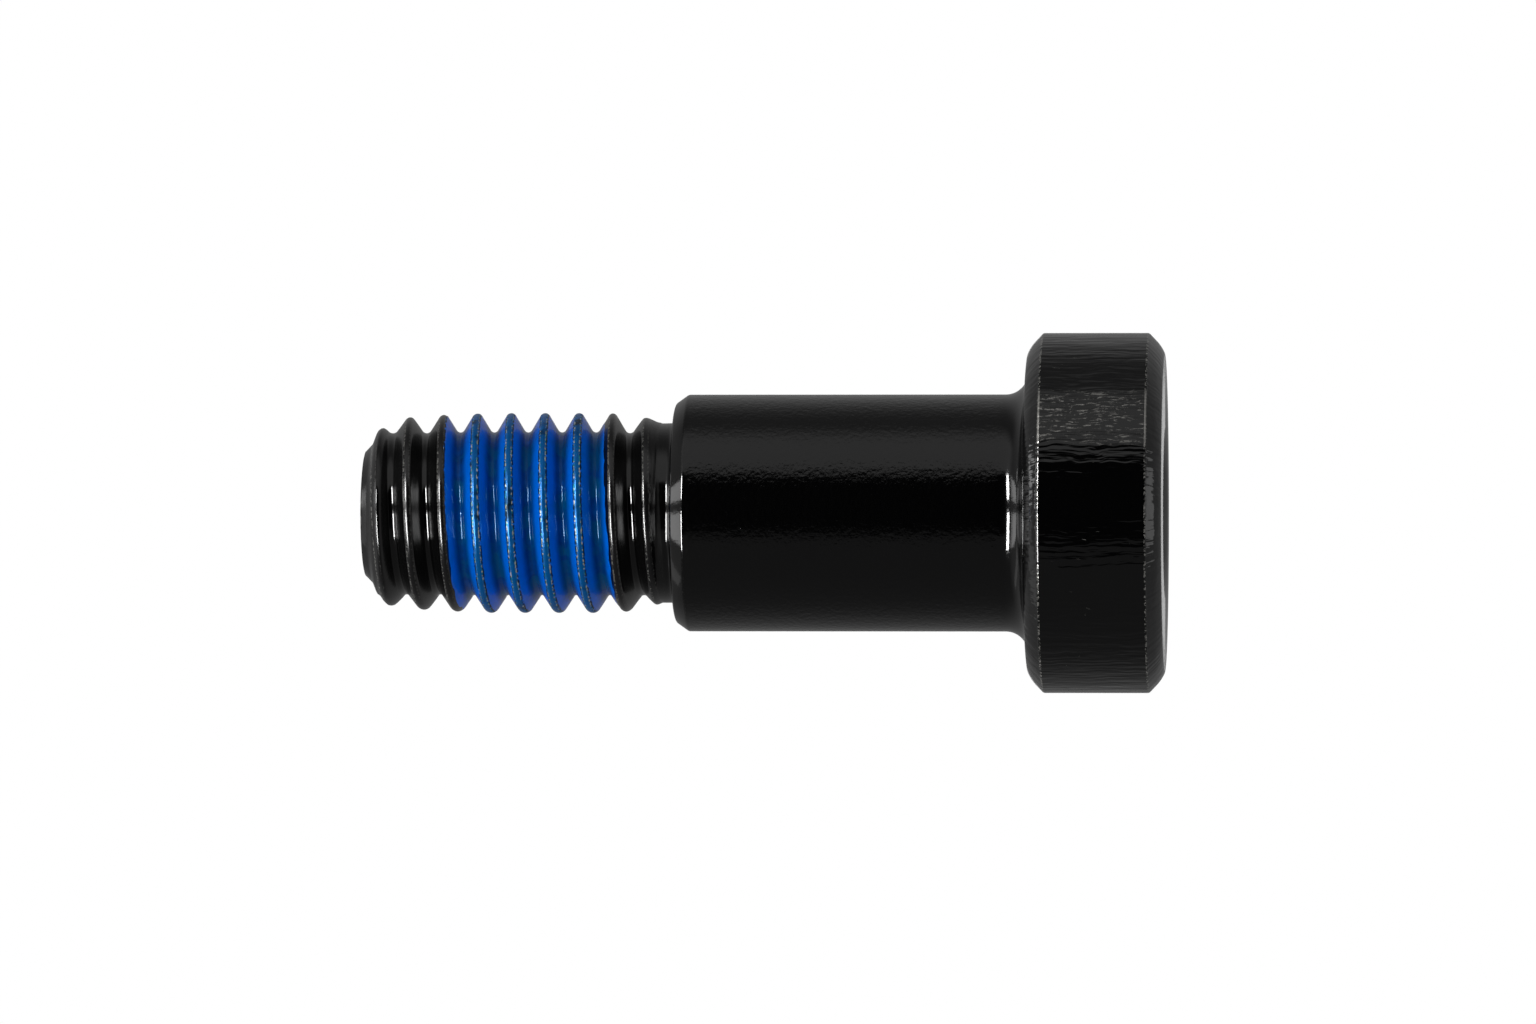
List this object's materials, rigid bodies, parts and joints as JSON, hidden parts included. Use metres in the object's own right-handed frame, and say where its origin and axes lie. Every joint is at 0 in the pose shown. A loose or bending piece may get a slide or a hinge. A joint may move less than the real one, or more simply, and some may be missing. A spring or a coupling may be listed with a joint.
{
  "type": "shoulder screw",
  "caption": "Black cylindrical-head shoulder screw with a hexagon socket, a plain shoulder, a short coarse thread and a blue thread-locking coat on the thread.",
  "frame": {"origin": "centre of the head's end face, on which the screw stands", "axes": "+Z along the screw's axis, from the head's end face to the tip of the thread"},
  "size_m": [0.0106, 0.0106, 0.0235],
  "materials": {
    "black_steel": "black oxide, oiled",
    "blue_coat": "dried thread-locking coat"
  },
  "bodies": {
    "root": {"screw_body": "black_steel", "thread_locking_coat": "blue_coat"}
  },
  "joints": []
}
